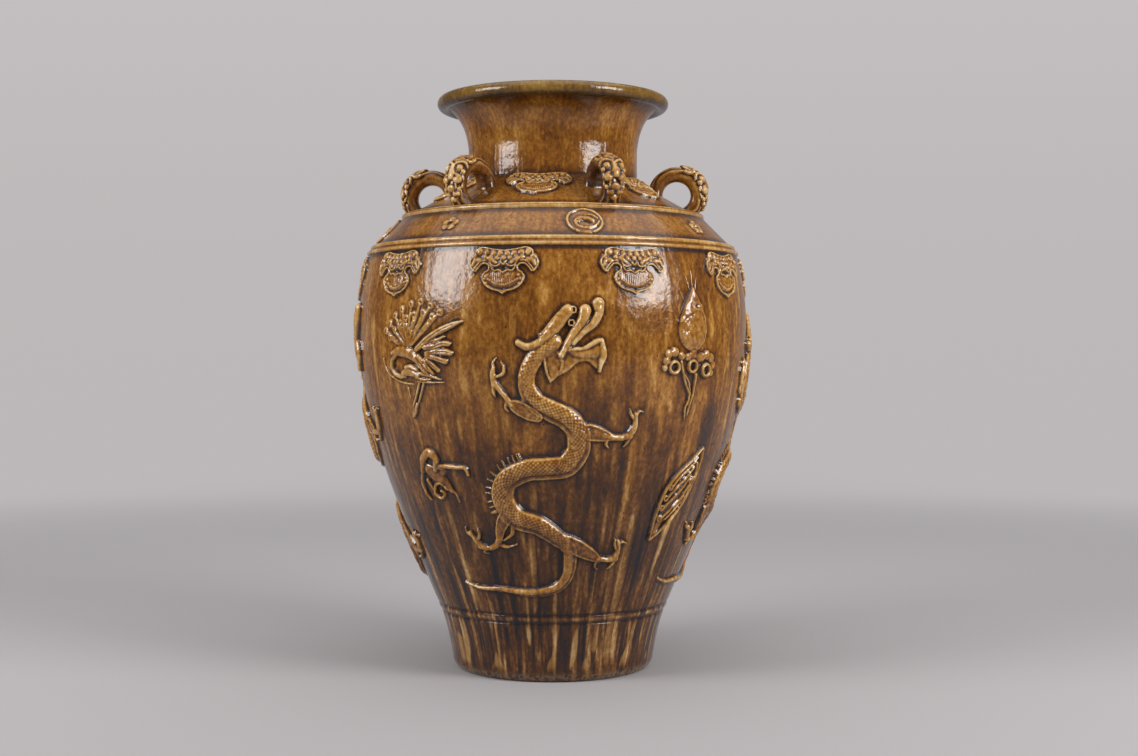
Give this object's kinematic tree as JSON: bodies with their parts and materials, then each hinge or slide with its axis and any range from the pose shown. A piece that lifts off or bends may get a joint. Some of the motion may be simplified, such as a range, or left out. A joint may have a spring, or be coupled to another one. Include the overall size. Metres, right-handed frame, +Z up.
{
  "type": "martaban storage jar",
  "caption": "Tall shouldered stoneware storage jar with a flared neck, rolled lip, strap lugs with beast masks for cords, and moulded relief on shoulder and body.",
  "frame": {"origin": "centre of the foot, on the ground", "axes": "+Z up along the jar's axis, front towards -Y, +X to the right as seen from the front"},
  "size_m": [0.436, 0.436, 0.62],
  "materials": {
    "amber_glaze": "glossy translucent brown glaze, streaked",
    "pale_relief": "glossy, glaze thin and pale over raised clay",
    "olive_glaze": "glossy olive-brown glaze",
    "bare_clay": "unglazed stoneware, matt"
  },
  "bodies": {
    "root": {"base_slab": "bare_clay", "lower_wall": "amber_glaze", "upper_wall": "amber_glaze", "shoulder": "amber_glaze", "neck": "amber_glaze", "rolled_lip": "olive_glaze", "double_cordon": "pale_relief", "shoulder_cordon": "pale_relief", "lug_1": "olive_glaze", "lug_2": "olive_glaze", "lug_3": "olive_glaze", "lug_4": "olive_glaze", "lug_5": "olive_glaze", "lug_6": "olive_glaze", "lug_mask_1": "pale_relief", "lug_mask_2": "pale_relief", "lug_mask_3": "pale_relief", "lug_mask_4": "pale_relief", "lug_mask_5": "pale_relief", "lug_mask_6": "pale_relief", "shoulder_mask_1": "pale_relief", "shoulder_mask_2": "pale_relief", "shoulder_mask_3": "pale_relief", "shoulder_mask_4": "pale_relief", "shoulder_mask_5": "pale_relief", "shoulder_mask_6": "pale_relief", "hanging_mask_1": "pale_relief", "hanging_mask_2": "pale_relief", "hanging_mask_3": "pale_relief", "hanging_mask_4": "pale_relief", "hanging_mask_5": "pale_relief", "hanging_mask_6": "pale_relief", "hanging_mask_7": "pale_relief", "hanging_mask_8": "pale_relief", "hanging_mask_9": "pale_relief", "hanging_mask_10": "pale_relief", "medallion_1": "pale_relief", "medallion_2": "pale_relief", "medallion_3": "pale_relief", "medallion_4": "pale_relief", "band_flower_1": "pale_relief", "band_flower_2": "pale_relief", "band_flower_3": "pale_relief", "band_flower_4": "pale_relief", "dragon_1": "pale_relief", "dragon_2": "pale_relief", "dragon_3": "pale_relief", "dragon_4": "pale_relief", "phoenix_1": "pale_relief", "phoenix_2": "pale_relief", "flaming_pearl_1": "pale_relief", "flaming_pearl_2": "pale_relief", "duck_1": "pale_relief", "duck_2": "pale_relief", "cloud_1": "pale_relief", "cloud_2": "pale_relief"}
  },
  "joints": []
}
